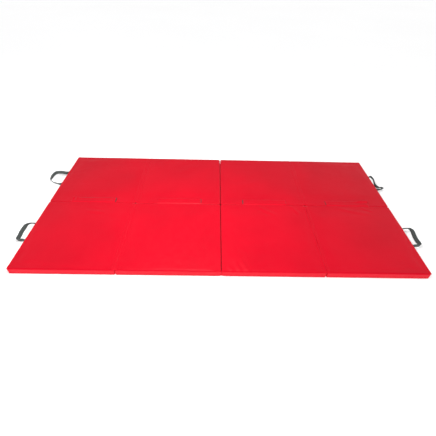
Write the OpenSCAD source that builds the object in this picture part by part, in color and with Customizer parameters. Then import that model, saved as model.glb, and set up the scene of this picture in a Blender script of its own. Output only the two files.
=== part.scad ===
// Folding gym mat: a front and a rear mat of four panels each, laid side by side and
// linked by four hook-and-loop flaps, with a webbing handle at both ends of each mat.
// Millimetres. +X runs along the mats, +Y from the front mat to the rear one, +Z up.
// The origin is on the floor, under the middle of the linked pair.
// Panels are numbered 1 to 4 from left to right.

/* [Mats] */
// Length of one panel along X, from fold to fold
panel_length = 600; // [450:10:700]
// Depth of one mat along Y
mat_depth = 600; // [450:10:700]
// Height of a panel lying flat
mat_height = 40; // [32:1:60]
// Space between two panels at a fold
fold_gap = 6; // [4:0.5:10]
// Space between the front and the rear mat
link_gap = 3; // [2:0.5:6]
// How far each outer end stops short, so that both ends can fold in together
end_inset = 2; // [1:0.5:5]
// Radius of a panel's upright corners
corner_radius = 12; // [6:1:30]

/* [Cover and foam] */
// Thickness of the vinyl
vinyl = 1; // [0.6:0.1:1.2]
// Space between the foam core and the cover
foam_play = 0.5; // [0.2:0.1:1.5]
// Thickness of the fabric strip inside each fold
strip_thickness = 1.2; // [0.8:0.1:2]

/* [Linking flaps] */
// Length of a flap along the joint
flap_length = 305; // [150:5:400]
// How far a flap reaches over the rear mat
flap_reach = 50; // [30:1:80]
// Thickness of a flap
flap_thickness = 1; // [0.6:0.1:1.2]
// Thickness of the hook tape, and of the loop tape
tape_thickness = 1; // [0.6:0.1:1]
// Depth of both tapes along Y
tape_depth = 44; // [20:1:60]
// Length of the loop tape on the rear mat
loop_length = 309; // [150:1:400]
// Middle of each loop tape, from the middle of its panel
loop_offset = 9; // [-20:1:20]
// How far each flap was pressed down to the right of its loop tape
flap_slip = [-5, -2, 6, -1]; // [-10:1:10]

/* [Handles] */
// Width of the webbing
webbing_width = 25; // [20:1:40]
// Thickness of the webbing
webbing_thickness = 2.4; // [1.6:0.1:3.5]
// Distance between the middles of a handle's two sewn ends
handle_span = 158; // [120:1:200]
// How far a handle reaches out from its root
handle_reach = 115; // [70:1:118]
// Height of a handle's root above the floor
handle_height = 26; // [20:1:27]
// Thickness of the sewn patch behind each end of a handle
patch_thickness = 1.6; // [1:0.1:2]
// Width of that patch along Y
patch_width = 34; // [30:1:50]

/* [Hidden] */
$fn = 48;
MATS = ["front", "rear"];
ENDS = ["left", "right"];
PANELS = [1, 2, 3, 4];
FOLDS = [1, 2, 3];

VINYL_RED = [0.86, 0.09, 0.15];
BAND_RED = [0.75, 0.08, 0.13];
FOAM_GREY = [0.85, 0.85, 0.82];
TAPE_BLACK = [0.12, 0.12, 0.12];
WEBBING_GREY = [0.30, 0.32, 0.31];

ease = 0.2;               // what moves past a neighbour clears it by this
low_x = -2 * panel_length;
end_wall_x = 2 * panel_length - end_inset;
foam_inset = vinyl + foam_play;

// A flap lies on the hook tape, which lies on the loop tape, on the rear mat.
hook_z = mat_height + tape_thickness + ease;
flap_z = hook_z + tape_thickness;
flap_y = -link_gap / 2 + 2 * ease;

// The left mat edge of panel p, and its right one.
function panel_left(p) = low_x + (p - 1) * panel_length + (p == 1 ? end_inset : fold_gap / 2);
function panel_right(p) = low_x + p * panel_length - (p == 4 ? end_inset : fold_gap / 2);
function panel_middle(p) = low_x + (p - 0.5) * panel_length;

// The near edge of a mat, and its far one.
function mat_near(m) = m == "front" ? -mat_depth : link_gap / 2;
function mat_far(m) = m == "front" ? -link_gap / 2 : mat_depth;
function mat_middle(m) = (m == "front" ? -1 : 1) * mat_depth / 2;

// A rectangle from low to high with round corners.
module rounded_rectangle(low, high, r) {
    size = high - low;
    translate(low + [r, 0]) square([size.x - 2 * r, size.y]);
    translate(low + [0, r]) square([size.x, size.y - 2 * r]);
    for (x = [low.x + r, high.x - r])
        for (y = [low.y + r, high.y - r])
            translate([x, y]) circle(r);
}

// The plan of a panel, drawn in from its walls by inset.
module panel_plan(m, p, inset = 0) {
    low = [panel_left(p), mat_near(m)];
    high = [panel_right(p), mat_far(m)];
    rounded_rectangle(low + [inset, inset], high - [inset, inset], corner_radius - inset);
}

module foam_core(m, p) {
    color(FOAM_GREY)
        translate([0, 0, foam_inset])
            linear_extrude(mat_height - 2 * foam_inset) panel_plan(m, p, foam_inset);
}

module top_cover(m, p) {
    color(VINYL_RED)
        translate([0, 0, mat_height - vinyl]) linear_extrude(vinyl) panel_plan(m, p);
}

module base_cover(m, p) {
    color(VINYL_RED) linear_extrude(vinyl) panel_plan(m, p);
}

// The gusset that joins the top to the base, all round a panel.
module side_band(m, p) {
    color(BAND_RED)
        translate([0, 0, vinyl])
            linear_extrude(mat_height - 2 * vinyl)
                difference() {
                    panel_plan(m, p);
                    panel_plan(m, p, vinyl);
                }
}

// The strip of cover inside fold f. The middle fold opens at the top and hinges on the
// floor, and the other two hinge at the top.
module hinge_strip(m, f) {
    at_top = f != 2;
    z = at_top ? mat_height - strip_thickness : 0;
    // the strip belongs to panel 2 at folds 1 and 2, and to panel 3 at fold 3
    left = panel_right(f) + (f == 1 ? ease : 0);
    right = panel_left(f + 1) - (f == 1 ? 0 : ease);
    color(BAND_RED)
        translate([left, mat_near(m) + corner_radius, z])
            cube([right - left, mat_far(m) - mat_near(m) - 2 * corner_radius, strip_thickness]);
}

// A tape or flap, middle on x, from y to y + depth, with round far corners.
module flat_strip(x, y, z, length, depth, thickness, r) {
    translate([x, y, z])
        linear_extrude(thickness) {
            translate([-length / 2, 0]) square([length, depth - r]);
            translate([r - length / 2, 0]) square([length - 2 * r, depth]);
            for (side = [-1, 1])
                translate([side * (length / 2 - r), depth - r]) circle(r);
        }
}

module loop_tape(p) {
    color(TAPE_BLACK)
        flat_strip(panel_middle(p) + loop_offset, flap_reach - tape_depth, mat_height,
                   loop_length, tape_depth, tape_thickness, 2);
}

module hook_tape(p) {
    color(TAPE_BLACK)
        flat_strip(panel_middle(p) + loop_offset + flap_slip[p - 1],
                   flap_reach - tape_depth - 1, hook_z,
                   flap_length - 6, tape_depth - 2, tape_thickness, 2);
}

module flap(p) {
    color(VINYL_RED)
        flat_strip(panel_middle(p) + loop_offset + flap_slip[p - 1], flap_y, flap_z,
                   flap_length, flap_reach - flap_y, flap_thickness, 5);
}

// The loop of a handle lies on its side with its root at x = 0 and reaches along +X.
module handle_plan() {
    half = handle_span / 2;
    bend = 10;            // inner radius of the loop's two corners
    difference() {
        rounded_rectangle([-2 * webbing_width, -half - webbing_width / 2],
                          [handle_reach, half + webbing_width / 2], bend + webbing_width);
        rounded_rectangle([-3 * webbing_width, -half + webbing_width / 2],
                          [handle_reach - webbing_width, half - webbing_width / 2], bend);
        translate([-4 * webbing_width, -handle_span])
            square([4 * webbing_width, 2 * handle_span]);
    }
}

// Moves what is drawn for the right-hand end of the mats to end e of mat m.
module at_end(m, e) {
    translate([0, mat_middle(m), 0]) mirror([e == "left" ? 1 : 0, 0, 0]) children();
}

// A handle droops from its root until its far side lies on the floor.
module handle(m, e) {
    root_x = end_wall_x + patch_thickness + 2;
    droop = asin((handle_height - webbing_thickness / 2 - 2 * ease) / handle_reach);
    color(WEBBING_GREY)
        at_end(m, e)
            translate([root_x, 0, handle_height])
                rotate([0, droop, 0])
                    translate([0, 0, -webbing_thickness / 2])
                        linear_extrude(webbing_thickness) handle_plan();
}

// Two patches on the end wall, one behind each sewn end of a handle.
module handle_patches(m, e) {
    color(WEBBING_GREY)
        at_end(m, e)
            for (side = [-1, 1])
                translate([end_wall_x, side * handle_span / 2 - patch_width / 2,
                           handle_height - webbing_width / 2])
                    cube([patch_thickness, patch_width, webbing_width]);
}

for (m = MATS) for (p = PANELS) {
    name = str(m, "_panel_", p, "_");
    foam_core(m, p);
    top_cover(m, p);
    side_band(m, p);
    base_cover(m, p);
}
for (m = MATS) for (f = FOLDS)
    hinge_strip(m, f);
for (p = PANELS) {
    flap(p);
    hook_tape(p);
    loop_tape(p);
}
for (m = MATS) for (e = ENDS) {
    handle(m, e);
    handle_patches(m, e);
}
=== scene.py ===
"""Looks for the folding gym mat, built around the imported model.

Metres, in the row frame: +X along the mats, +Y from the front mat to the rear one, +Z up.
"""

import math

import bmesh
import bpy
import numpy as np
from mathutils import Matrix, Vector
from mathutils.bvhtree import BVHTree


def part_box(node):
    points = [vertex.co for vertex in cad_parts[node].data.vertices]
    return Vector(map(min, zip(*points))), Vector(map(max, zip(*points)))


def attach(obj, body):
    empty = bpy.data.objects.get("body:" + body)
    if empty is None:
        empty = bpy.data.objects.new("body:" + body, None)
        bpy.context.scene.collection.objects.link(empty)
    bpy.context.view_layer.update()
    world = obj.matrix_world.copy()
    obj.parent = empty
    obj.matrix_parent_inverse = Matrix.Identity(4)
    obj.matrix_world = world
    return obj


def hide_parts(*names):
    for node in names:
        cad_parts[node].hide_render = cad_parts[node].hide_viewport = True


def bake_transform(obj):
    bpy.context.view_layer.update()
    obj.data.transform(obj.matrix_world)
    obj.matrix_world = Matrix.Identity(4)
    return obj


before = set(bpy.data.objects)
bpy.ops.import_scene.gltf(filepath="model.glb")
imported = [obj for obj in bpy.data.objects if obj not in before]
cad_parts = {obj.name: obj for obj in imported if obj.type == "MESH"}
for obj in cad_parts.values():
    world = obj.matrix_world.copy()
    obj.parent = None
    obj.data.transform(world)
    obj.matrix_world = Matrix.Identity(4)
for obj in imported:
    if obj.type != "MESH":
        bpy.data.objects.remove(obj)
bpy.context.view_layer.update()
scene = bpy.context.scene

MM = 0.001
MATS = ("front", "rear")
PANELS = (1, 2, 3, 4)
FOLDS = (1, 2, 3)


# ---------------- places from the frame

def panel_box(m, p):
    """Lowest and highest corner of a panel's cover."""
    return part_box(f"{m}_panel_{p}_base_cover")[0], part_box(f"{m}_panel_{p}_top_cover")[1]


def fold_x(f):
    """Where fold f lies, between panels f and f + 1."""
    return (panel_box("front", f)[1].x + panel_box("front", f + 1)[0].x) / 2


TOP_Z = panel_box("front", 2)[1].z
END_X = panel_box("front", 4)[1].x
LINK_Y = (panel_box("front", 2)[1].y + panel_box("rear", 2)[0].y) / 2


def sides(m, p):
    """What each side of a panel meets: nothing (outer), the other mat (link), or a fold."""
    fold = {1: "top_fold", 2: "low_fold", 3: "top_fold"}
    return {
        "left": "outer" if p == 1 else fold[p - 1],
        "right": "outer" if p == 4 else fold[p],
        "near": "outer" if m == "front" else "link",
        "far": "link" if m == "front" else "outer",
    }


# ---------------- mesh helpers

def smooth(t):
    """0 below 0, 1 above 1, and an even curve between."""
    t = np.clip(t, 0, 1)
    return t * t * (3 - 2 * t)


def waves(points, scale, seed=0.0):
    """Soft noise from about -1 to 1 at each point, with features 1 / scale across."""
    q = np.asarray(points) * scale + seed * np.array([1.3, 2.1, 3.7])
    cell = np.floor(q).astype(np.int64)
    share = smooth(q - cell)
    total = np.zeros(len(q))
    for corner in ((i, j, k) for i in (0, 1) for j in (0, 1) for k in (0, 1)):
        c = cell + corner
        mixed = (c[:, 0] * 374761393 + c[:, 1] * 668265263 + c[:, 2] * 982451653) & 0xFFFFFFFF
        mixed = ((mixed ^ (mixed >> 13)) * 1274126177) & 0xFFFFFFFF
        value = ((mixed ^ (mixed >> 16)) & 0xFFFF) / 32767.5 - 1
        weight = np.prod(np.where(np.array(corner) == 1, share, 1 - share), axis=1)
        total += value * weight
    return total


def new_object(name, points, faces, material):
    """A smooth mesh with one material."""
    mesh = bpy.data.meshes.new(name)
    mesh.from_pydata([tuple(q) for q in points], [], [tuple(int(v) for v in f) for f in faces])
    mesh.update()
    mesh.polygons.foreach_set("use_smooth", [True] * len(mesh.polygons))
    mesh.materials.append(material)
    o = bpy.data.objects.new(name, mesh)
    scene.collection.objects.link(o)
    return o


def rows_of(items, name):
    """Three numbers for each vertex or polygon."""
    values = np.zeros(len(items) * 3)
    items.foreach_get(name, values)
    return values.reshape(-1, 3)


def coordinates(o):
    return rows_of(o.data.vertices, "co")


def set_coordinates(o, co):
    o.data.vertices.foreach_set("co", co.reshape(-1))
    o.data.update()


def apply_modifiers(o):
    """Makes the shape that an object's modifiers give it its own mesh."""
    evaluated = o.evaluated_get(bpy.context.evaluated_depsgraph_get())
    mesh = bpy.data.meshes.new_from_object(evaluated)
    old = o.data
    o.modifiers.clear()
    o.data = mesh
    bpy.data.meshes.remove(old)
    mesh.name = o.name


def thick_sheet(name, surface, thickness, material, relief=None, soft_edge=0.5):
    """A closed sheet round the rows and columns of points in surface, thinner at its edges."""
    rows, cols, _ = surface.shape
    along = np.gradient(surface, axis=0)
    across = np.gradient(surface, axis=1)
    normal = np.cross(across, along)
    normal /= np.linalg.norm(normal, axis=2, keepdims=True)
    half = np.full((rows, cols), thickness / 2)
    for edge in (half[0], half[-1], half[:, 0], half[:, -1]):
        edge *= soft_edge
    if relief is not None:
        half = half + relief
    upper = surface + normal * half[..., None]
    lower = surface - normal * half[..., None]
    points = np.concatenate([upper.reshape(-1, 3), lower.reshape(-1, 3)])
    index = np.arange(rows * cols).reshape(rows, cols)
    under = rows * cols         # from the index of an upper point to the lower one's
    faces = []
    for i in range(rows - 1):
        for j in range(cols - 1):
            a, b, c, d = index[i, j], index[i, j + 1], index[i + 1, j + 1], index[i + 1, j]
            faces.append((a, b, c, d))
            faces.append((a + under, d + under, c + under, b + under))
    borders = ((index[0], False), (index[-1], True), (index[:, 0], True), (index[:, -1], False))
    for line, turn in borders:
        for a, b in zip(line[:-1], line[1:]):
            quad = (a, a + under, b + under, b)
            faces.append(quad[::-1] if turn else quad)
    return new_object(name, points, faces, material)


def curve_through(points, step):
    """Points about one step apart on a smooth curve through rows of numbers."""
    points = np.array(points, float)
    padded = np.vstack([2 * points[0] - points[1], points, 2 * points[-1] - points[-2]])
    result = []
    for a, b, c, d in zip(padded, padded[1:], padded[2:], padded[3:]):
        count = max(1, round(np.linalg.norm((c - b)[:3]) / step))
        for t in np.arange(count) / count:
            result.append(0.5 * (2 * b + (c - a) * t + (2 * a - 5 * b + 4 * c - d) * t ** 2
                                 + (3 * b - a - 3 * c + d) * t ** 3))
    return np.array(result + [points[-1]])


def tube(name, path, radius, material, count=6):
    """A round bead along a path, with closed ends."""
    path = np.array(path)
    along = np.gradient(path, axis=0)
    along /= np.linalg.norm(along, axis=1, keepdims=True)
    side = np.cross(along, (0, 0, 1.0))
    side /= np.linalg.norm(side, axis=1, keepdims=True)
    up = np.cross(side, along)
    rings = []
    for k in range(count):
        turn = 2 * math.pi * k / count
        rings.append(path + radius * (math.cos(turn) * side + math.sin(turn) * up))
    points = np.stack(rings, axis=1).reshape(-1, 3)
    faces = []
    for i in range(len(path) - 1):
        for k in range(count):
            a, b = i * count + k, i * count + (k + 1) % count
            faces.append((a, b, b + count, a + count))
    faces.append(tuple(range(count))[::-1])
    faces.append(tuple(len(points) - count + k for k in range(count)))
    return new_object(name, points, faces, material)


STITCH_LENGTH = 3.4 * MM
STITCH_PITCH = 4.8 * MM
STITCH_WIDTH = 0.8 * MM
STITCH_HEIGHT = 0.5 * MM


def stitches(name, lines, material):
    """Short raised threads along each line, a list of (points, outward normal)."""
    points, faces = [], []
    for line, normal in lines:
        line = np.array(line, float)
        normal = np.array(normal, float)
        steps = np.linalg.norm(np.diff(line, axis=0), axis=1)
        reach = np.concatenate([[0], np.cumsum(steps)])
        count = int(reach[-1] / STITCH_PITCH)
        for k in range(count):
            middle = (k + 0.5) * reach[-1] / count
            ends = [np.array([np.interp(middle + s * STITCH_LENGTH / 2, reach, line[:, axis])
                              for axis in range(3)]) for s in (-1, 1)]
            direction = ends[1] - ends[0]
            side = np.cross(normal, direction)
            side *= STITCH_WIDTH / 2 / np.linalg.norm(side)
            lift = normal * STITCH_HEIGHT
            base = len(points)
            points.append(ends[0])
            for t in (0.25, 0.75):
                at = ends[0] + direction * t
                points.extend([at + side, at + lift, at - side, at - lift])
            points.append(ends[1])
            for q in range(4):
                n = (q + 1) % 4
                faces.append((base, base + 1 + q, base + 1 + n))
                faces.append((base + 1 + q, base + 5 + q, base + 5 + n, base + 1 + n))
                faces.append((base + 9, base + 5 + n, base + 5 + q))
    return new_object(name, points, faces, material)


# ---------------- materials

def shader(name):
    material = bpy.data.materials.new(name)
    material.use_nodes = True
    tree = material.node_tree
    return material, tree, tree.nodes["Principled BSDF"]


def node(tree, kind, **inputs):
    made = tree.nodes.new(kind)
    for key, value in inputs.items():
        made.inputs[key.replace("_", " ")].default_value = value
    return made


def object_noise(tree, scale, detail=3.0, rough=0.5):
    """Noise that sticks to the object, with features 1 / scale across."""
    where = tree.nodes.new("ShaderNodeTexCoord")
    made = node(tree, "ShaderNodeTexNoise", Scale=scale, Detail=detail, Roughness=rough)
    tree.links.new(where.outputs["Object"], made.inputs["Vector"])
    return made.outputs["Fac"]


def ranged(tree, value, low, high):
    """Noise spread over a range."""
    made = node(tree, "ShaderNodeMapRange", To_Min=low, To_Max=high, From_Min=0.3, From_Max=0.7)
    tree.links.new(value, made.inputs["Value"])
    return made.outputs["Result"]


def ramp(tree, value, colours):
    made = tree.nodes.new("ShaderNodeValToRGB")
    elements = made.color_ramp.elements
    while len(elements) < len(colours):
        elements.new(0.5)
    for element, (place, colour) in zip(elements, colours):
        element.position = place
        element.color = (*colour, 1)
    tree.links.new(value, made.inputs["Fac"])
    return made.outputs["Color"]


def bump(tree, height, distance, below=None):
    made = node(tree, "ShaderNodeBump", Distance=distance)
    tree.links.new(height, made.inputs["Height"])
    if below is not None:
        tree.links.new(below, made.inputs["Normal"])
    return made.outputs["Normal"]


def grain(tree, scale):
    """The pebbled grain of coated vinyl."""
    where = tree.nodes.new("ShaderNodeTexCoord")
    made = node(tree, "ShaderNodeTexVoronoi", Scale=scale)
    made.feature = "SMOOTH_F1"
    tree.links.new(where.outputs["Object"], made.inputs["Vector"])
    return made.outputs["Distance"]


def shade(colour, factor):
    return tuple(min(1.0, c * factor) for c in colour)


# Sockets of a Mix node in its colour mode, where several sockets share a name
MIX_A, MIX_B, MIX_RESULT = 6, 7, 2


def vinyl(name, colour, rough=(0.34, 0.46), specular=0.075):
    """Coated cloth with a pebbled grain, soft dents and edges that are worn a little lighter."""
    material, tree, bsdf = shader(name)
    clouds = object_noise(tree, 3.5, 4.0)
    base = ramp(tree, clouds, [(0.3, shade(colour, 0.94)), (0.7, shade(colour, 1.05))])
    edges = tree.nodes.new("ShaderNodeNewGeometry").outputs["Pointiness"]
    worn = ramp(tree, edges, [(0.5, (0, 0, 0)), (0.62, (1, 1, 1))])
    mix = tree.nodes.new("ShaderNodeMix")
    mix.data_type = "RGBA"
    tree.links.new(worn, mix.inputs["Factor"])
    tree.links.new(base, mix.inputs[MIX_A])
    mix.inputs[MIX_B].default_value = (*shade(colour, 1.12), 1)
    tree.links.new(mix.outputs[MIX_RESULT], bsdf.inputs["Base Color"])
    tree.links.new(ranged(tree, object_noise(tree, 26.0), *rough), bsdf.inputs["Roughness"])
    fine = bump(tree, grain(tree, 620.0), 0.10 * MM)
    soft = bump(tree, object_noise(tree, 38.0, 4.0), 0.5 * MM, fine)
    tree.links.new(soft, bsdf.inputs["Normal"])
    bsdf.inputs["Specular IOR Level"].default_value = specular
    bsdf.inputs["IOR"].default_value = 1.45
    bsdf.inputs["Sheen Weight"].default_value = 0.018
    return material


def woven(name, dark, light, sheen=0.25, fibre=1800.0, specular=0.25):
    """Dull cloth made of threads: webbing, thread or tape."""
    material, tree, bsdf = shader(name)
    threads = object_noise(tree, fibre, 2.0, 0.7)
    tree.links.new(ramp(tree, threads, [(0.35, dark), (0.65, light)]), bsdf.inputs["Base Color"])
    tree.links.new(ranged(tree, object_noise(tree, 200.0), 0.72, 0.92), bsdf.inputs["Roughness"])
    tree.links.new(bump(tree, threads, 0.25 * MM), bsdf.inputs["Normal"])
    bsdf.inputs["Specular IOR Level"].default_value = specular
    bsdf.inputs["Sheen Weight"].default_value = sheen
    bsdf.inputs["Sheen Roughness"].default_value = 0.4
    return material


def foam(name):
    """Open foam cells."""
    material, tree, bsdf = shader(name)
    cells = grain(tree, 900.0)
    tree.links.new(ramp(tree, cells, [(0.1, (0.6, 0.6, 0.55)), (0.6, (0.86, 0.86, 0.82))]),
                   bsdf.inputs["Base Color"])
    tree.links.new(bump(tree, cells, 0.4 * MM), bsdf.inputs["Normal"])
    tree.links.new(ranged(tree, object_noise(tree, 60.0), 0.85, 0.97), bsdf.inputs["Roughness"])
    return material


RED = (0.44, 0.0018, 0.0115)
MATERIALS = {
    "vinyl": vinyl("vinyl_top", RED),
    "vinyl_band": vinyl("vinyl_band", shade(RED, 1.02), (0.42, 0.55), 0.13),
    "vinyl_seam": vinyl("vinyl_seam", shade(RED, 0.92), (0.55, 0.7), 0.02),
    # painted highlight: the round left and right edges are painted 1.25 times lighter, with little gloss,
    # as if they caught the light
    "vinyl_rim_painted_highlight": vinyl("vinyl_rim_painted_highlight", shade(RED, 1.25), (0.55, 0.7), 0.02),
    "thread": woven("sewing_thread", shade(RED, 0.8), shade(RED, 1.15), 0.0, specular=0.06),
    "webbing": woven("webbing", (0.026, 0.031, 0.030), (0.080, 0.092, 0.088), 0.15),
    "webbing_thread": woven("webbing_thread", (0.08, 0.09, 0.085), (0.17, 0.18, 0.17)),
    "hook": woven("hook_tape", (0.01, 0.012, 0.012), (0.05, 0.055, 0.055), 0.1, 1300.0),
    "loop": woven("loop_tape", (0.012, 0.014, 0.014), (0.04, 0.048, 0.048), 0.08, 900.0),
    "foam": foam("foam"),
}


# ---------------- panel covers

# How far a cover reaches past the CAD panel at each kind of side, and its edge radius there.
REACH = {"outer": 0, "top_fold": 2.6 * MM, "low_fold": 1.5 * MM, "link": 1.1 * MM}
ROUND = {"outer": 4 * MM, "top_fold": 3 * MM, "low_fold": 5 * MM, "link": 5 * MM}
OPEN_FOLD = {("front", 3): "right", ("front", 4): "left"}   # the top fold that gapes most
OPEN_REACH = 1.0 * MM       # how much less far the covers reach there
OUTER_CORNER = 3.5 * MM     # corner radius of the flat top, where two outer sides meet
INNER_CORNER = 2 * MM
NOTCH_CORNER = 6 * MM       # at the rear end of the rear mat's middle fold, which stays open
BASE_ROUND = 2.5 * MM
EDGE_STEPS = np.array([0, 2.5, 6, 12, 22]) * MM
GRID_PITCH = 13 * MM
ROUND_ANGLES = (35, 65, 90)
WALL_HEIGHTS = (0.72, 0.5, 0.28)
SEAM_RINGS = {"top": 1, "base": 7}      # the rings of a cover's mesh that carry its two seams


def spaced(low, high):
    """Places from low to high, close together near both ends."""
    first, last = low + EDGE_STEPS[-1], high - EDGE_STEPS[-1]
    inner = np.linspace(first, last, round((last - first) / GRID_PITCH) + 1)
    return np.concatenate([low + EDGE_STEPS[:-1], inner, high - EDGE_STEPS[-2::-1]])


def corner_shift(x, y, corners):
    """Moves a point of the square top onto its round corner, and says which way is out."""
    for cx, cy, sx, sy in corners:
        a, b = (x - cx) * sx, (y - cy) * sy
        if a > -1e-9 and b > -1e-9 and max(a, b) > 1e-9:
            length = math.hypot(a, b)
            scale = max(a, b) / length
            return cx + a * scale * sx, cy + b * scale * sy, (a / length * sx, b / length * sy)
    return x, y, None


def cover_corners(kinds, x0, x1, y0, y1):
    """The middle of each round corner of the flat top, and the two directions out of it."""
    corners = []
    for side_x, x, sx in (("left", x0, -1), ("right", x1, 1)):
        for side_y, y, sy in (("near", y0, -1), ("far", y1, 1)):
            both = kinds[side_x] == kinds[side_y] == "outer"
            r = OUTER_CORNER if both else INNER_CORNER
            if (kinds[side_x], kinds[side_y], side_y) == ("low_fold", "outer", "far"):
                r = NOTCH_CORNER
            corners.append((x - sx * r, y - sy * r, sx, sy))
    return corners


def cover_rings(rim, out, edge, top_z):
    """The rows of points below the flat top, outward and down to the base."""
    rx = np.where(out[:, 0] < 0, edge["left"], edge["right"])
    ry = np.where(out[:, 1] < 0, edge["near"], edge["far"])
    drop = out[:, 0] ** 2 * rx + out[:, 1] ** 2 * ry

    def ring(spread, z):
        x = rim[:, 0] + out[:, 0] * rx * spread
        y = rim[:, 1] + out[:, 1] * ry * spread
        return np.column_stack([x, y, z])

    rings = []
    for angle in np.radians(ROUND_ANGLES):
        rings.append(ring(math.sin(angle), top_z - drop * (1 - math.cos(angle))))
    for share in WALL_HEIGHTS:
        rings.append(ring(1, np.full(len(rim), top_z * share)))
    for angle in np.radians(ROUND_ANGLES[::-1] + (0,)):
        base = ring(1, np.full(len(rim), BASE_ROUND * (1 - math.cos(angle))))
        base[:, :2] -= out * BASE_ROUND * (1 - math.sin(angle))
        rings.append(base)
    return rings


def is_outer(kinds, out):
    """Whether a point of the rim, with its direction out, lies on sides that meet nothing."""
    x, y = out
    free_x = abs(x) < 0.01 or kinds["left" if x < 0 else "right"] == "outer"
    free_y = abs(y) < 0.01 or kinds["near" if y < 0 else "far"] == "outer"
    return free_x and free_y


def cover_mesh(m, p):
    """A panel's closed cover: top, round edges, side wall and base. Its rings go outward and down."""
    low, high = panel_box(m, p)
    kinds = sides(m, p)
    edge = {s: ROUND[k] for s, k in kinds.items()}
    reach = {s: REACH[k] for s, k in kinds.items()}
    if (m, p) in OPEN_FOLD:
        reach[OPEN_FOLD[m, p]] -= OPEN_REACH
    x0, x1 = low.x - reach["left"] + edge["left"], high.x + reach["right"] - edge["right"]
    y0, y1 = low.y - reach["near"] + edge["near"], high.y + reach["far"] - edge["far"]
    xs, ys = spaced(x0, x1), spaced(y0, y1)
    corners = cover_corners(kinds, x0, x1, y0, y1)
    points, outward = [], []
    for y in ys:
        for x in xs:
            px, py, out = corner_shift(x, y, corners)
            if out is None:
                out = (float(x == x1) - float(x == x0), float(y == y1) - float(y == y0))
            points.append((px, py, high.z))
            outward.append(out)
    nx, ny = len(xs), len(ys)
    index = np.arange(nx * ny).reshape(ny, nx)
    faces = [(index[j, i], index[j, i + 1], index[j + 1, i + 1], index[j + 1, i])
             for j in range(ny - 1) for i in range(nx - 1)]
    loop = list(index[0, :-1]) + list(index[:-1, -1]) + list(index[-1, :0:-1]) + list(index[:0:-1, 0])
    rim = np.array([points[v] for v in loop])
    out = np.array([outward[v] for v in loop])
    ring_start = []
    previous = loop
    for line in cover_rings(rim, out, edge, high.z):
        current = list(range(len(points), len(points) + len(loop)))
        ring_start.append(current[0])
        points.extend(map(tuple, line))
        faces += zip(previous, current, current[1:] + current[:1], previous[1:] + previous[:1])
        previous = current
    base_index = np.zeros((ny, nx), int)
    for v, place in zip(loop, previous):
        base_index[v // nx, v % nx] = place
    for j in range(1, ny - 1):
        for i in range(1, nx - 1):
            base_index[j, i] = len(points)
            points.append((xs[i], ys[j], 0.0))
    faces += [(base_index[j, i], base_index[j + 1, i], base_index[j + 1, i + 1], base_index[j, i + 1])
              for j in range(ny - 1) for i in range(nx - 1)]
    o = new_object(f"{m}_panel_{p}_cover", points, faces, MATERIALS["vinyl"])
    return o, {"rings": ring_start, "outer": [is_outer(kinds, direction) for direction in out]}


def edge_distances(m, p, co):
    """Distance of each point from the four sides of its panel."""
    low, high = panel_box(m, p)
    return {"left": co[:, 0] - low.x, "right": high.x - co[:, 0],
            "near": co[:, 1] - low.y, "far": high.y - co[:, 1]}


SWELL_LIMIT = 1.3 * MM      # how far the sewn cover may swell
SWELL_SLIDE = 0.15          # the share of its sideways movement that the foam lets through
FLAP_MARGIN = 62 * MM       # the top stays flat this far from the link, where the flaps lie
FLAP_EASE = 70 * MM
FOLD_MARGIN = 20 * MM
FOLD_EASE = 45 * MM
BASE_MARGIN = 2 * MM
BASE_EASE = 5 * MM
SIM_FRAMES = 20
CLOTH = {
    "quality": 4, "mass": 0.5, "tension_stiffness": 8, "compression_stiffness": 8,
    "shear_stiffness": 5, "bending_stiffness": 0.4, "use_pressure": True,
    "uniform_pressure_force": 4, "vertex_group_mass": "held",
}


def swell_share(m, p, co):
    """1 where a cover may swell, and 0 at the link, at the folds and on the base."""
    share = smooth((co[:, 2] - BASE_MARGIN) / BASE_EASE)
    distances = edge_distances(m, p, co)
    for side, kind in sides(m, p).items():
        d = distances[side]
        if kind == "link":
            share = share * smooth((d - FLAP_MARGIN) / FLAP_EASE)
        elif kind != "outer":
            share = share * smooth((d - FOLD_MARGIN) / FOLD_EASE)
    return share


def swell(covers):
    """Cloth simulation: every cover is blown up a little by the foam that fills it."""
    start = {o.name: coordinates(o) for _, _, o, _ in covers}
    outward = {o.name: rows_of(o.data.vertices, "normal") for _, _, o, _ in covers}
    for m, p, o, _ in covers:
        held = o.vertex_groups.new(name="held")
        free = swell_share(m, p, start[o.name]) > 0
        held.add([int(v) for v in np.flatnonzero(~free)], 1.0, "REPLACE")
        cloth = o.modifiers.new("cloth", "CLOTH")
        for name, value in CLOTH.items():
            setattr(cloth.settings, name, value)
        cloth.settings.effector_weights.gravity = 0
        cloth.point_cache.frame_start = 1
        cloth.point_cache.frame_end = SIM_FRAMES
    for f in range(1, SIM_FRAMES + 1):
        scene.frame_set(f)
    for _, _, o, _ in covers:
        apply_modifiers(o)
        o.vertex_groups.clear()
    scene.frame_set(1)
    for m, p, o, _ in covers:
        rest = start[o.name]
        normal = outward[o.name]
        move = coordinates(o) - rest
        out = np.sum(move * normal, axis=1, keepdims=True)
        # the foam inside keeps the cover from being drawn in or along
        move = (move - normal * out) * SWELL_SLIDE + normal * np.maximum(out, 0)
        length = np.linalg.norm(move, axis=1)
        limited = SWELL_LIMIT * np.tanh(length / SWELL_LIMIT) / np.maximum(length, 1e-9)
        set_coordinates(o, rest + move * (limited * swell_share(m, p, rest))[:, None])


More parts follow.
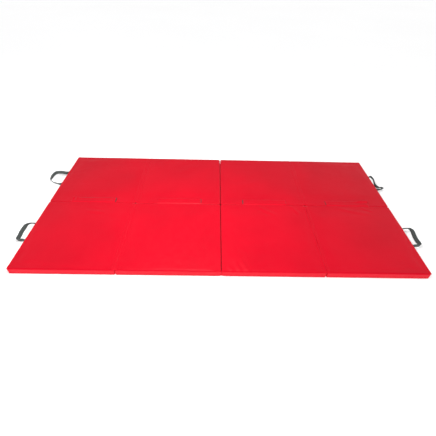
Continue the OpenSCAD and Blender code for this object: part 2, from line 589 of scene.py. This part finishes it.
# Wrinkles, each from a start to an end on the ground plan, with a height and a half-width
WRINKLES = {
    ("front", 3): [
        # three ridges at the near left corner
        ((0.036, -0.545), (0.066, -0.600), 1.2, 8), ((0.078, -0.515), (0.109, -0.600), 1.4, 9),
        ((0.110, -0.503), (0.157, -0.600), 1.2, 10),
        # drawn in under the flap
        ((0.246, -0.006), (0.376, -0.103), 1.0, 14), ((0.497, -0.004), (0.549, -0.099), 1.0, 12),
    ],
    ("front", 4): [
        ((0.784, -0.006), (1.042, -0.087), 1.1, 16), ((0.986, -0.006), (1.068, -0.054), 1.3, 9),
    ],
    ("front", 1): [((-0.930, -0.081), (-0.786, -0.109), 1.0, 14)],
    ("front", 2): [((-0.16, -0.55), (-0.30, -0.48), 0.7, 26), ((-0.42, -0.30), (-0.30, -0.12), 0.6, 30)],
    ("rear", 2): [((-0.35, 0.36), (-0.22, 0.50), 0.6, 30)],
    ("rear", 3): [((0.10, 0.22), (0.30, 0.30), 0.6, 28)],
}
WRINKLE_FLANK = 0.45        # how deep the trough beside a wrinkle is, as a share of its height
TOP_FROM = 30 * MM          # the top's share of a point rises from 0 here to 1 over TOP_EASE
TOP_EASE = 8 * MM
RIM_EASE = 20 * MM          # the slack fades out over this distance from the sides
PUCKER_HEIGHT = 0.35 * MM
PUCKER_DEPTH = 16 * MM      # how far the puckers reach from a seam
PUCKER_EASE = 30 * MM
RIPPLE_HEIGHT = 0.9 * MM    # of the slack side band, which lies RIPPLE_INSET behind its seams
RIPPLE_INSET = 0.4 * MM
WALL_EASE = 3 * MM
SEAM_GROOVE = {("front", 1): 1.7 * MM}      # how far the side band is drawn in under the top seam
SLIGHT_GROOVE = 0.6 * MM
GROOVE_Z = 35.2 * MM
GROOVE_WIDTH = 2 * MM
CORNER_TIGHT = 7 * MM       # how far the stuffed corners reach along the middle fold
CORNER_EASE = 12 * MM
CORNER_DEPTH = 14 * MM      # how far they reach into the panel
CORNER_REACH = 1.3 * MM
CORNER_FILL = 0.8           # how much of the round corner's opening they fill
TOP_REBATE = 0.40 * MM      # the cover is this much lower where a fold cover lies on it
BASE_REBATE = 1.25 * MM     # and this much higher where one lies under it, below BASE_REBATE_TOP
BASE_REBATE_TOP = 6 * MM
BASE_REBATE_EASE = 5 * MM
REBATE_WIDTH = 17 * MM
REBATE_EASE = 3 * MM


def cover_seed(m, p):
    """The start of a panel's own noise."""
    return 3.7 * p + (11.0 if m == "rear" else 0.0)


def wrinkle(x, y, start, end, height, width):
    """A ridge with a trough on both sides, strongest past its middle."""
    ax, ay = start
    dx, dy = end[0] - ax, end[1] - ay
    length = math.hypot(dx, dy)
    t = ((x - ax) * dx + (y - ay) * dy) / length ** 2
    off = ((x - ax) * dy - (y - ay) * dx) / length
    bend = 0.35 * width * MM * np.sin(3 * t)
    u = (off - bend) / (width * MM)
    profile = np.exp(-u ** 2) - WRINKLE_FLANK * np.exp(-((np.abs(u) - 1.9) ** 2) * 1.6)
    ends = smooth(t / 0.45 + 0.15) * smooth((1.12 - t) / 0.3)
    return height * MM * profile * ends


def top_lift(m, p, co, inside):
    """The slack of the top, in broad and narrow waves, and its wrinkles."""
    seed = cover_seed(m, p)
    slack = waves(co, 7.0, seed) * 0.55 + waves(co, 19.0, seed + 5) * 0.3
    lift = MM * slack * swell_share(m, p, co) * smooth(inside / RIM_EASE)
    for start, end, height, width in WRINKLES.get((m, p), []):
        lift = lift + wrinkle(co[:, 0], co[:, 1], start, end, height, width)
    return lift


def puckers(m, p, co, inside, distances):
    """Small puckers where the top is sewn to the side band."""
    height = waves(co * (1, 1, 0), 55.0, cover_seed(m, p) + 9) * PUCKER_HEIGHT
    near_seam = np.exp(-(inside / PUCKER_DEPTH) ** 2)
    total = np.zeros(len(co))
    for side, kind in sides(m, p).items():
        if kind == "outer":
            total += height * near_seam * smooth(1 - distances[side] / PUCKER_EASE)
    return total


def band_push(m, p, co, z, distance):
    """How far the side band stands out: it ripples, and is drawn in under the top seam."""
    wall = smooth(1 - distance / WALL_EASE)
    bulge = np.sin(np.clip(z / TOP_Z, 0, 1) * math.pi)
    ripple = waves(co * (1, 1, 0.35), 16.0, cover_seed(m, p) + 2) * RIPPLE_HEIGHT - RIPPLE_INSET
    groove = SEAM_GROOVE.get((m, p), SLIGHT_GROOVE) * np.exp(-((z - GROOVE_Z) / GROOVE_WIDTH) ** 2)
    return wall * (ripple * bulge - groove)


def stuffed_corner(across, along):
    """How far a corner at the front mat's middle fold fills the gap, where the two nearly meet."""
    share = smooth(1 - (along - CORNER_TIGHT) / CORNER_EASE) * smooth(1 - across / CORNER_DEPTH)
    return share * (CORNER_REACH + np.maximum(across + REACH["low_fold"], 0) * CORNER_FILL)


def dress(m, p, o):
    """Everything that sewing, slack and use add to a cover: waves, wrinkles, puckers and rebates."""
    co = coordinates(o)
    x, y, z = co.T.copy()
    distances = edge_distances(m, p, co)
    kinds = sides(m, p)
    inside = np.minimum.reduce(list(distances.values()))
    on_top = smooth((z - TOP_FROM) / TOP_EASE)
    z = z + (top_lift(m, p, co, inside) + puckers(m, p, co, inside, distances)) * on_top
    for side, axis, sign in (("left", 0, -1), ("right", 0, 1), ("near", 1, -1), ("far", 1, 1)):
        if kinds[side] == "outer":
            push = sign * band_push(m, p, co, z, distances[side])
            if axis == 0:
                x = x + push
            else:
                y = y + push
    for side, sign in (("left", -1), ("right", 1)):
        d = distances[side]
        if kinds[side] == "low_fold" and kinds["near"] == "outer":
            x = x + sign * stuffed_corner(d, distances["near"])
        # room for the fold covers, on top or underneath
        near = smooth(1 - (d - REBATE_WIDTH) / REBATE_EASE)
        if kinds[side] == "top_fold":
            z = z - TOP_REBATE * near * on_top
        if kinds[side] == "low_fold":
            z = z + BASE_REBATE * near * smooth((BASE_REBATE_TOP - z) / BASE_REBATE_EASE)
    set_coordinates(o, np.column_stack([x, y, np.maximum(z, 0)]))


BINDING_WIDTH = 6 * MM      # how far the edge binding reaches onto the top
BINDING_STEEP = 0.3         # it ends where the upward part of the normal falls to this
BAND_STEEP = 0.5            # and elsewhere the band starts here


def band_faces(m, p, o):
    """The side band, the base and the binding are other pieces of vinyl than the top. The binding at the
    left and right ends is painted lighter: a painted highlight of its round edge.
    """
    for name in ("vinyl_band", "vinyl_seam", "vinyl_rim_painted_highlight"):
        o.data.materials.append(MATERIALS[name])
    upward = rows_of(o.data.polygons, "normal")[:, 2]
    distances = edge_distances(m, p, rows_of(o.data.polygons, "center"))
    slots = (upward < BAND_STEEP).astype(np.int32)
    # slot 3, the binding at the left and right ends, carries the painted highlight of the round end edges
    for side, slot in (("near", 2), ("far", 2), ("left", 3), ("right", 3)):
        if sides(m, p)[side] == "outer":
            slots[(distances[side] < BINDING_WIDTH) & (upward > BINDING_STEEP)] = slot
    o.data.polygons.foreach_set("material_index", slots)


FOAM_EASE = 1.6 * MM        # more room round the foam than the CAD core leaves
FOAM_ROUND = 7 * MM
FOAM_CUTS = 9
FOAM_WAVE = 0.4 * MM


def foam_slab(m, p):
    """The foam core, a slab with the round edges that foam takes inside a tight cover."""
    node_name = f"{m}_panel_{p}_foam_core"
    low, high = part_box(node_name)
    size = high - low
    shape = bmesh.new()
    bmesh.ops.create_cube(shape, size=1)
    bmesh.ops.subdivide_edges(shape, edges=shape.edges[:], cuts=FOAM_CUTS, use_grid_fill=True)
    for v in shape.verts:
        for axis in range(3):
            half = size[axis] / 2 - FOAM_EASE
            v.co[axis] = (low[axis] + high[axis]) / 2 + 2 * v.co[axis] * half
    o = new_object(f"{m}_panel_{p}_foam_slab", [], [], MATERIALS["foam"])
    shape.to_mesh(o.data)
    shape.free()
    bevel = o.modifiers.new("round", "BEVEL")
    bevel.width = FOAM_ROUND
    bevel.segments = 5
    bevel.limit_method = "ANGLE"
    apply_modifiers(o)
    co = coordinates(o)
    co[:, 2] += FOAM_WAVE * waves(co, 9.0, p)
    set_coordinates(o, co)
    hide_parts(node_name)
    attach(o, f"{m}_panel_{p}")


SEAM_RADIUS = {"top": 1.5 * MM, "base": 1.05 * MM}
SEAM_PITCH = 7 * MM
TOPSTITCH_INSET = 10 * MM


def outer_run(flags):
    """The part of a ring that lies on outer sides, in order."""
    count = len(flags)
    start = next(k for k in range(count) if flags[k] and not flags[k - 1])
    run = []
    while flags[(start + len(run)) % count] and len(run) < count:
        run.append((start + len(run)) % count)
    return np.array(run)


def sew(name, lines, material, body):
    """Stitches that ride on a body."""
    sewn = stitches(name, lines, MATERIALS[material])
    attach(sewn, body)


def seams(body, surface, paths):
    """The beads along the top and base seams, laid on the finished cover."""
    for place, path in paths.items():
        line = curve_through(path, SEAM_PITCH)
        on_cover = np.array([surface.find_nearest(Vector(q))[0] for q in line])
        seam = tube(f"{body}_{place}_seam", on_cover, SEAM_RADIUS[place], MATERIALS["vinyl_seam"])
        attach(seam, body)


def topstitch(m, p, surface, path):
    """A row of stitches just inside the top seam."""
    low, high = panel_box(m, p)
    kinds = sides(m, p)
    row = []
    for x, y, _ in curve_through(path, SEAM_PITCH):
        if kinds["left"] == "outer":
            x = max(x, low.x + TOPSTITCH_INSET)
        if kinds["right"] == "outer":
            x = min(x, high.x - TOPSTITCH_INSET)
        if kinds["near"] == "outer":
            y = max(y, low.y + TOPSTITCH_INSET)
        if kinds["far"] == "outer":
            y = min(y, high.y - TOPSTITCH_INSET)
        hit = surface.ray_cast(Vector((x, y, 2 * TOP_Z)), Vector((0, 0, -1)))[0]
        row.append(hit if hit is not None else Vector((x, y, TOP_Z)))
    sew(f"{m}_panel_{p}_topstitch", [(row, (0, 0, 1))], "thread", f"{m}_panel_{p}")


def finish_cover(m, p, o, info):
    """Turns the plain cover into the sewn one, and adds what is on it and in it."""
    body = f"{m}_panel_{p}"
    plain = coordinates(o)
    run = outer_run(info["outer"])
    paths = {place: plain[info["rings"][ring] + run] for place, ring in SEAM_RINGS.items()}
    o.modifiers.new("subdivide", "SUBSURF").levels = 1
    apply_modifiers(o)
    band_faces(m, p, o)
    dress(m, p, o)
    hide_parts(f"{body}_top_cover", f"{body}_side_band", f"{body}_base_cover")
    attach(o, body)
    surface = BVHTree.FromPolygons([v.co for v in o.data.vertices],
                                   [tuple(f.vertices) for f in o.data.polygons])
    seams(body, surface, paths)
    topstitch(m, p, surface, paths["top"])
    foam_slab(m, p)


covers = [(m, p, *cover_mesh(m, p)) for m in MATS for p in PANELS]
swell(covers)
for cover in covers:
    finish_cover(*cover)


# ---------------- fold covers

FOLD_HALF = 16 * MM
FOLD_SHEET = 0.45 * MM
CREASE = {("front", 1): 0.9 * MM, ("front", 3): 3.4 * MM, ("rear", 1): 0.3 * MM, ("rear", 3): 0.7 * MM}
SHOULDER = {("front", 1): 0.05, ("front", 3): 0.12, ("rear", 1): 0.0, ("rear", 3): 0.1}
CREASE_WIDTH = 1.6 * MM
CREASE_WAVE = 0.3           # how much a crease's depth varies along it
SHOULDER_PLACE = 5 * MM     # of the low ridge on each side of a crease
SHOULDER_WIDTH = 2.5 * MM
FOLD_ENDS = 3 * MM          # a fold cover stops this far short of an outer side
LINK_ENDS = 0.3 * MM        # and the one under the middle fold this far short of the link
LOW_COVER_Z = 0.75 * MM
FOLD_STITCH_PLACE = 12 * MM
FOLD_STITCH_ENDS = 4 * MM
FOLD_STITCH_DROP = 0.15 * MM


def fold_ends(m, f):
    """Where a fold cover starts and stops along the fold."""
    low, high = panel_box(m, f)
    if m == "front":
        return low.y + FOLD_ENDS, LINK_Y - LINK_ENDS if f == 2 else high.y - ROUND["link"]
    return LINK_Y + LINK_ENDS if f == 2 else low.y + ROUND["link"], high.y - FOLD_ENDS


def crease(m, f, along, across):
    """The height that the crease adds to a fold cover: a groove with a low ridge on each side."""
    depth = CREASE[m, f] * (1 + CREASE_WAVE * np.sin(along * 23 + f)[:, None])
    ridge = SHOULDER[m, f] * np.exp(-((np.abs(across) - SHOULDER_PLACE) / SHOULDER_WIDTH) ** 2)
    return depth * (ridge - np.exp(-(across / CREASE_WIDTH) ** 2))


def fold_cover(m, f):
    """The strip of cover that runs across a fold, on top of it or underneath."""
    kind = "low_fold" if f == 2 else "top_fold"
    y0, y1 = fold_ends(m, f)
    across = np.linspace(-1, 1, 33) * FOLD_HALF
    along = np.linspace(y0, y1, 90)
    surface = np.zeros((len(along), len(across), 3))
    surface[..., 0] = fold_x(f) + across
    surface[..., 1] = along[:, None]
    surface[..., 2] = LOW_COVER_Z
    if kind == "top_fold":
        surface[..., 2] = TOP_Z - FOLD_SHEET / 2 + crease(m, f, along, across)
    sheet = thick_sheet(f"{m}_fold_cover_{f}{f + 1}", surface, FOLD_SHEET, MATERIALS["vinyl"])
    parent, child = f"{m}_panel_{f}", f"{m}_panel_{f + 1}"
    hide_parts(f"{m}_hinge_strip_{f}{f + 1}")
    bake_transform(sheet)
    if kind == "low_fold":
        return
    for body, side, sign in ((parent, "right", -1), (child, "left", 1)):
        x = fold_x(f) + sign * FOLD_STITCH_PLACE
        row = [(x, y, TOP_Z - FOLD_STITCH_DROP)
               for y in np.linspace(y0 + FOLD_STITCH_ENDS, y1 - FOLD_STITCH_ENDS, 60)]
        sew(f"{body}_fold_stitches_{side}", [(row, (0, 0, 1))], "thread", body)


for m in MATS:
    for f in FOLDS:
        fold_cover(m, f)


# ---------------- flaps and their tapes

FLAP_SHEET = 1.0 * MM
ROOT_Y = LINK_Y - 4 * MM    # a flap starts inside the seam of the front mat
ROOT_DROP = 1.6 * MM
ROOT_RISE = 11 * MM         # the distance in which a flap climbs from its seam onto the tapes
FLAP_CORNER = 4 * MM
HEM_START = 0.84            # the hem's share of the way from root to edge, where it is doubled
HEM_RIDGE = 0.25 * MM
FLAP_STITCH_ROWS = (0.26, 0.36, 0.80, 0.93)
PUCKER_1 = 2.2 * MM         # the puckered left end of flap 1
CURL_4 = (1.2 * MM, 6.0 * MM)               # the raised right end of flap 4, and its edge
CURL_REACH = 18 * MM
LIFT_3 = 0.8 * MM           # the raised left end of flap 3
# How far short of their CAD reach two flaps stop, from a place along them to their right end
FLAP_SHORT = {1: (0.08, 5 * MM), 2: (0.62, 3.5 * MM)}
# How much shorter each loop strip is than its CAD tape, in millimetres at its left and right end
LOOP_TRIM = {1: (2, 2), 2: (2, 0.5), 3: (2, -5.5), 4: (-2, 0)}


def flap_y(p, u, v, far):
    """Place of a flap across the link, v from 0 at its root to 1 at its hem, with round corners."""
    start, short = FLAP_SHORT.get(p, (0, 0))
    corner = FLAP_CORNER * np.clip((np.abs(u - 0.5) - 0.482) / 0.018, 0, 1) ** 2
    return ROOT_Y + (far - ROOT_Y) * v - v * (corner + short * smooth((u - start) / 0.12))


def flap_height(p, u, y, hook_top, far):
    """Height of the middle of a flap, u from 0 at its left end to 1 at its right end."""
    resting = hook_top + FLAP_SHEET / 2 + 0.1 * MM
    root = TOP_Z - ROOT_DROP
    z = root + (resting - root) * smooth((y - ROOT_Y) / ROOT_RISE)
    out = smooth((y - ROOT_Y) / (far - ROOT_Y))
    ripple = 0.35 * MM * np.sin(u * 19 + p) * np.sin(u * 7 + 2 * p)
    hem = 0.5 * MM * out ** 4
    z = z + (ripple + hem) * out
    if p == 1:
        z = z + smooth((0.16 - u) / 0.16) * out * PUCKER_1 * np.cos(u * 60)
    if p == 3:
        z = z + smooth((0.05 - u) / 0.05) * out * LIFT_3
    if p == 4:
        whole, edge = CURL_4
        curl = whole * smooth((y - LINK_Y) / CURL_REACH) + edge * smooth((y - far) / CURL_REACH + 1)
        z = z + smooth((u - 0.60) / 0.36) * curl
    return z


def link_flap(p):
    """A flap with its hem and its rows of stitches."""
    low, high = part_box(f"flap_{p}")
    hook_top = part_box(f"hook_tape_{p}")[1].z
    parent, child = f"front_panel_{p}", f"flap_{p}"
    us, vs = np.linspace(0, 1, 100), np.linspace(0, 1, 26)
    xs = low.x + (high.x - low.x) * us
    surface = np.zeros((len(vs), len(us), 3))
    for j, v in enumerate(vs):
        y = ROOT_Y + (high.y - ROOT_Y) * v
        surface[j, :, 0] = xs
        surface[j, :, 1] = flap_y(p, us, v, high.y)
        surface[j, :, 2] = flap_height(p, us, y, hook_top, high.y)
    hem = HEM_RIDGE * smooth((vs - HEM_START) / 0.04)[:, None] * np.ones((1, len(us)))
    o = thick_sheet(f"link_flap_{p}", surface, FLAP_SHEET, MATERIALS["vinyl"], relief=hem)
    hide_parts(child)
    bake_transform(o)
    rows = []
    us, xs = us[3:-3], xs[3:-3]
    for v in FLAP_STITCH_ROWS:
        y = ROOT_Y + (high.y - ROOT_Y) * v
        z = flap_height(p, us, y, hook_top, high.y) + (FLAP_SHEET - STITCH_HEIGHT) / 2
        if v > HEM_START:
            z = z + HEM_RIDGE
        rows.append((np.column_stack([xs, flap_y(p, us, v, high.y), z]), (0, 0, 1)))
    sew(f"flap_{p}_stitches", rows, "thread", child)


def tape_strip(kind, p, body, pile, trim=(0, 0)):
    """A strip of hook or loop tape. The trim makes it shorter at its left and right end."""
    low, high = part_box(f"{kind}_tape_{p}")
    x0, x1 = low.x + trim[0] * MM, high.x - trim[1] * MM
    surface = np.zeros((34, 210, 3))
    surface[..., 0] = np.linspace(x0, x1, surface.shape[1])
    surface[..., 1] = np.linspace(low.y, high.y, surface.shape[0])[:, None]
    surface[..., 2] = (low.z + high.z) / 2
    fuzz = waves(surface.reshape(-1, 3), 640.0, p).reshape(surface.shape[:2])
    tape = thick_sheet(f"{kind}_strip_{p}", surface, high.z - low.z - 2 * pile, MATERIALS[kind],
                       relief=pile * fuzz)
    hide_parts(f"{kind}_tape_{p}")
    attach(tape, body)


for p in PANELS:
    link_flap(p)
    tape_strip("hook", p, f"flap_{p}", 0.12 * MM)
    tape_strip("loop", p, f"rear_panel_{p}", 0.3 * MM, LOOP_TRIM[p])


# ---------------- handles

# Each loop's middle line runs from its far sewn end to its near one, as distance out from
# the end wall, place along Y and height, then the direction across the webbing. Millimetres.
HANDLE_LINES = {
    ("front", "left"): [
        (1, -221, 27, 0, 0, 1), (18, -215, 28, 0, -0.4, 0.92), (39, -214, 28, 0, -0.5, 0.87),
        (54, -219, 26, 0, -0.45, 0.89), (65, -227, 22, -0.3, -0.3, 0.9), (71, -243, 17, -0.65, 0, 0.75),
        (74, -275, 14, -0.7, 0, 0.71), (70, -309, 13, -0.7, 0, 0.71), (67, -338, 14, -0.65, 0, 0.76),
        (62, -356, 17, -0.2, -0.1, 0.97), (40, -363, 22, 0, -0.1, 1), (20, -363, 26, 0, 0, 1),
        (1, -370, 27, 0, 0, 1)],
    ("front", "right"): [
        (1, -221, 27, 0, 0, 1), (17, -213, 29, 0, -0.4, 0.92), (40, -210, 29, 0, -0.5, 0.87),
        (58, -209, 28, 0, -0.5, 0.87), (67, -213, 24, 0.1, -0.4, 0.9), (75, -221, 19, 0.4, -0.1, 0.9),
        (77, -233, 16, 0.65, 0, 0.75), (75, -252, 13, 0.72, 0, 0.7), (70, -280, 13, 0.72, 0, 0.7),
        (69, -306, 13, 0.72, 0, 0.7), (70, -334, 14, 0.68, 0, 0.73), (64, -353, 17, 0.2, -0.1, 0.97),
        (44, -361, 22, 0, -0.1, 1), (21, -364, 26, 0, 0, 1), (1, -370, 27, 0, 0, 1)],
    ("rear", "left"): [
        (1, 379, 27, 0, 0, 1), (24, 373, 29, 0, 0.3, 0.95), (53, 379, 30, 0, 0.5, 0.86),
        (92, 380, 29, 0, 0.5, 0.86), (110, 364, 28, -0.2, 0.2, 0.95), (116, 327, 27, -0.25, 0, 0.97),
        (113, 291, 26, 0.1, -0.3, 0.95), (99, 265, 26, 0.1, -0.45, 0.89),
        (75, 247, 26, 0.1, -0.45, 0.89), (51, 235, 27, 0.1, -0.45, 0.89), (20, 223, 28, 0, -0.35, 0.94),
        (1, 225, 27, 0, 0, 1)],
    ("rear", "right"): [
        (1, 379, 27, 0, 0, 1), (13, 392, 29, 0, -0.2, 0.98), (25, 395, 31, -0.1, -0.4, 0.91),
        (31, 382, 31, -0.2, -0.4, 0.89), (34, 361, 30, -0.25, -0.3, 0.92), (30, 333, 28, -0.1, 0, 0.99),
        (24, 306, 27, 0, 0, 1), (21, 280, 27, 0, 0, 1), (27, 262, 27, 0, -0.3, 0.95),
        (40, 256, 25, 0, -0.55, 0.83), (57, 262, 22, 0, -0.6, 0.8), (68, 260, 19, 0.05, -0.6, 0.8),
        (70, 250, 17, 0, -0.6, 0.8), (57, 241, 19, 0, -0.55, 0.83), (37, 231, 23, 0, -0.4, 0.92),
        (17, 224, 26, 0, 0, 1), (1, 222, 27, 0, 0, 1)],
}
WEBBING_WIDTH = 24 * MM
WEBBING_THICKNESS = 2.0 * MM
WEAVE_STEP = 1.5 * MM
WEAVE_DEPTH = 0.16 * MM
WEBBING_COLUMNS = 23


def ribbon(name, line, width, thickness):
    """Woven webbing along rows of place and width direction."""
    centre, across = line[:, :3], line[:, 3:6]
    along = np.gradient(centre, axis=0)
    along /= np.linalg.norm(along, axis=1, keepdims=True)
    across = across - along * np.sum(across * along, axis=1, keepdims=True)
    across /= np.linalg.norm(across, axis=1, keepdims=True)
    places = np.linspace(-0.5, 0.5, WEBBING_COLUMNS) * width
    surface = centre[:, None, :] + across[:, None, :] * places[None, :, None]
    i, j = np.meshgrid(np.arange(len(line)), np.arange(WEBBING_COLUMNS), indexing="ij")
    weave = WEAVE_DEPTH * (1 - 2.0 * ((i + j) % 2))
    return thick_sheet(name, surface, thickness, MATERIALS["webbing"], relief=weave, soft_edge=0.6)


PATCH_LENGTH = 34 * MM
PATCH_EASE = 0.3 * MM
PATCH_BOX = (13 * MM, 9 * MM)               # half the size of the stitched box, along and up


def end_panel(m, e):
    """The panel that carries a handle."""
    return f"{m}_panel_{1 if e == 'left' else 4}"


def webbing_handle(m, e, sign):
    """A handle along its own line."""
    handle = f"handle_{m}_{e}"
    rows = [(sign * (END_X + out * MM), y * MM, z * MM, wx, wy, wz)
            for out, y, z, wx, wy, wz in HANDLE_LINES[m, e]]
    line = curve_through(rows, WEAVE_STEP)
    o = ribbon(f"webbing_{m}_{e}", line, WEBBING_WIDTH, WEBBING_THICKNESS)
    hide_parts(handle)
    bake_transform(o)


def box_stitches(x, y, z, outward):
    """The sewn box with a cross in the middle of a patch."""
    a, b = PATCH_BOX
    corners = [(x, y + i * a, z + j * b) for i, j in ((-1, -1), (1, -1), (1, 1), (-1, 1))]
    order = (0, 1, 2, 3, 0, 2)
    pairs = list(zip(order[:-1], order[1:])) + [(1, 3)]
    return [(np.linspace(corners[i], corners[j], 12), outward) for i, j in pairs]


def handle_patches(m, e, sign):
    """The two sewn ends of a handle, as one piece, and their stitches."""
    low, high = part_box(f"handle_patches_{m}_{e}")
    middle = (low + high) / 2
    depth = high.x - low.x
    span = (high.y - low.y - PATCH_LENGTH) / 2
    parts, sewing = [], []
    for side in (-1, 1):
        y = middle.y + side * span
        places = np.linspace(y - PATCH_LENGTH / 2, y + PATCH_LENGTH / 2, round(PATCH_LENGTH / WEAVE_STEP))
        path = np.array([(sign * (END_X + depth / 2), q, middle.z, 0, 0, 1) for q in places])
        parts.append(ribbon("patch", path, high.z - low.z, depth - PATCH_EASE))
        sewing += box_stitches(sign * (END_X + depth), y, middle.z, (sign, 0, 0))
    patches = parts[0]
    with bpy.context.temp_override(active_object=patches, selected_editable_objects=parts,
                                   selected_objects=parts, object=patches):
        bpy.ops.object.join()
    patches.name = patches.data.name = f"patches_{m}_{e}"
    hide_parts(f"handle_patches_{m}_{e}")
    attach(patches, end_panel(m, e))
    sew(f"patch_stitches_{m}_{e}", sewing, "webbing_thread", end_panel(m, e))


for m in MATS:
    for e, sign in (("left", -1), ("right", 1)):
        webbing_handle(m, e, sign)
        handle_patches(m, e, sign)


# ---------------- floor, light and camera

FLOOR_HALF = 40.0
FLOOR_Z = -0.3 * MM         # just below the mats, so that no faces coincide


def floor():
    """A white studio floor, wider than any view."""
    corners = [(x * FLOOR_HALF, y * FLOOR_HALF, FLOOR_Z) for x, y in ((-1, -1), (1, -1), (1, 1), (-1, 1))]
    material, tree, bsdf = shader("floor_paint")
    paint = [(0.3, (0.955, 0.955, 0.955)), (0.7, (0.97, 0.97, 0.97))]
    tree.links.new(ramp(tree, object_noise(tree, 0.5), paint), bsdf.inputs["Base Color"])
    bsdf.inputs["Roughness"].default_value = 0.9
    bsdf.inputs["Specular IOR Level"].default_value = 0
    new_object("studio_floor", corners, [(0, 1, 2, 3)], material)


def area_light(name, place, aim, size, power):
    """A white soft box that the camera doesn't see."""
    data = bpy.data.lights.new(name, "AREA")
    data.shape = "RECTANGLE"
    data.size, data.size_y = size
    data.energy = power
    o = bpy.data.objects.new(name, data)
    scene.collection.objects.link(o)
    o.location = place
    o.rotation_euler = (Vector(aim) - Vector(place)).to_track_quat("-Z", "Y").to_euler()
    o.visible_camera = False


def studio_world(strength):
    """An even dome, darker high up at the back, which the vinyl would mirror towards the front."""
    world = bpy.data.worlds.new("studio")
    scene.world = world
    world.use_nodes = True
    tree = world.node_tree
    background = tree.nodes["Background"]
    where = tree.nodes.new("ShaderNodeTexCoord")
    dot = tree.nodes.new("ShaderNodeVectorMath")
    dot.operation = "DOT_PRODUCT"
    dot.inputs[1].default_value = Vector((-0.05, 0.62, 0.78)).normalized()
    tree.links.new(where.outputs["Generated"], dot.inputs[0])
    shadow = ramp(tree, dot.outputs["Value"], [(0.78, (1.0, 1.0, 1.0)), (0.96, (0.05, 0.05, 0.06))])
    tree.links.new(shadow, background.inputs["Color"])
    background.inputs["Strength"].default_value = strength


CAMERA_PLACE = Vector((-0.0529, -1.6768, 1.4033))
CAMERA_YAW, CAMERA_PITCH, CAMERA_ROLL = (math.radians(a) for a in (1.303, 41.723, 1.772))
CAMERA_LENS = 25.19


def camera():
    """A wide view from in front of the mats, looking down on them and slightly rolled."""
    forward = Vector((math.sin(CAMERA_YAW) * math.cos(CAMERA_PITCH),
                      math.cos(CAMERA_YAW) * math.cos(CAMERA_PITCH), -math.sin(CAMERA_PITCH)))
    level = Vector((math.cos(CAMERA_YAW), -math.sin(CAMERA_YAW), 0))
    upright = level.cross(forward)
    right = math.cos(CAMERA_ROLL) * level + math.sin(CAMERA_ROLL) * upright
    up = math.cos(CAMERA_ROLL) * upright - math.sin(CAMERA_ROLL) * level
    data = bpy.data.cameras.new("camera")
    data.lens = CAMERA_LENS
    data.sensor_width = 36
    data.clip_end = 200
    o = bpy.data.objects.new("camera", data)
    scene.collection.objects.link(o)
    turn = Matrix((right, up, -forward)).transposed().to_4x4()
    o.matrix_world = Matrix.Translation(CAMERA_PLACE) @ turn
    scene.camera = o


floor()
studio_world(1.25)
area_light("key", (-0.25, -0.36, 1.4), (-0.25, -0.36, 0), (0.6, 0.6), 24.5)
area_light("front_fill", (-0.8, -3.6, 0.55), (-0.4, -0.6, 0.02), (6.0, 1.2), 105)
camera()
scene.view_settings.view_transform = "Standard"
